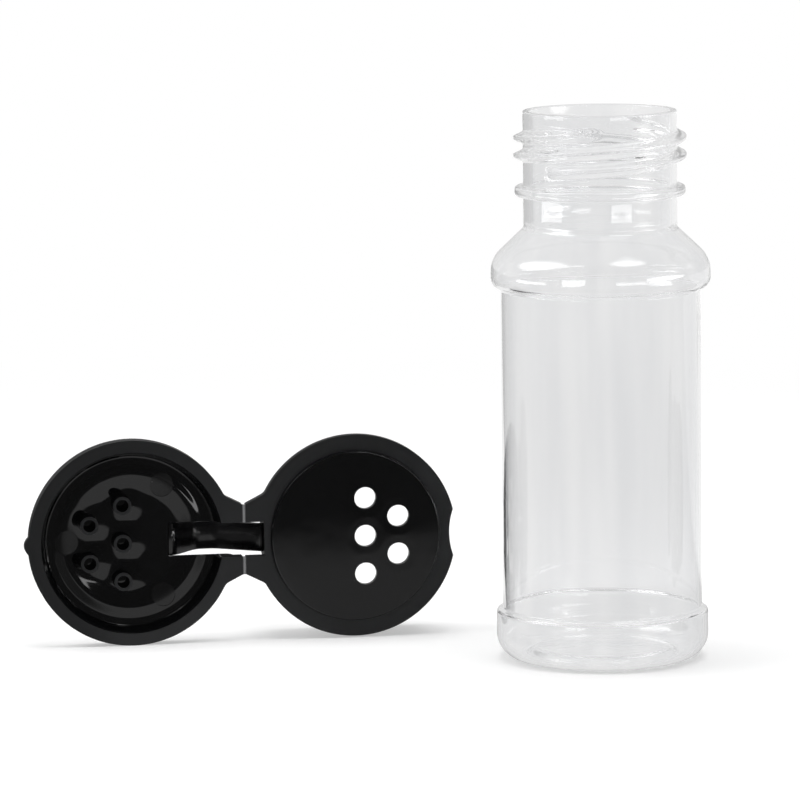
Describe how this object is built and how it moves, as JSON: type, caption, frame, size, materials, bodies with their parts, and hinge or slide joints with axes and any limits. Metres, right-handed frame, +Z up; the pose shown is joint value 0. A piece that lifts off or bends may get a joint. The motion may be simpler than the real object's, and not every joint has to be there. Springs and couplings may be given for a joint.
{
  "type": "spice shaker bottle with flip-top sifter cap",
  "caption": "Clear waisted spice bottle with a screw neck; its sifter cap stands open beside it: pierced deck, lid with plugs, film hinges and snap strap.",
  "frame": {"origin": "centre of the bottle's standing face, on the bottle's axis, at the height of the surface that everything stands on", "axes": "+Z up along the bottle's axis; the open cap stands on edge to the left and behind, its hinge line upright, its mating faces looking along -Y, lid on the -X side and sifter base on the +X side"},
  "size_m": [0.1382, 0.0685, 0.1125],
  "materials": {
    "clear_pet": "clear blow-moulded PET, glossy, faint cool grey",
    "black_pp": "black polypropylene, matt rims and ears, glossy deck and lid floor",
    "stressed_pp": "black polypropylene whitened where the film bends"
  },
  "bodies": {
    "bottle": {"bottle": "clear_pet"},
    "cap_base": {"cap_base": "black_pp", "hinge_film_upper": "stressed_pp", "hinge_film_lower": "stressed_pp", "snap_strap": "black_pp"},
    "flip_lid": {"flip_lid": "black_pp"}
  },
  "joints": [
    {"name": "cap_lift", "type": "slide", "parent": "bottle", "child": "cap_base", "axis": [0, 0, 1], "range_m": [0, 0.12]},
    {"name": "lid_hinge", "type": "hinge", "parent": "cap_base", "child": "flip_lid", "pos_m": [-0.06975, 0.03234, 0.0216], "axis": [0, 0, 1], "range_deg": [0, 180], "deforming": ["snap_strap", "hinge_film_upper", "hinge_film_lower"]}
  ]
}
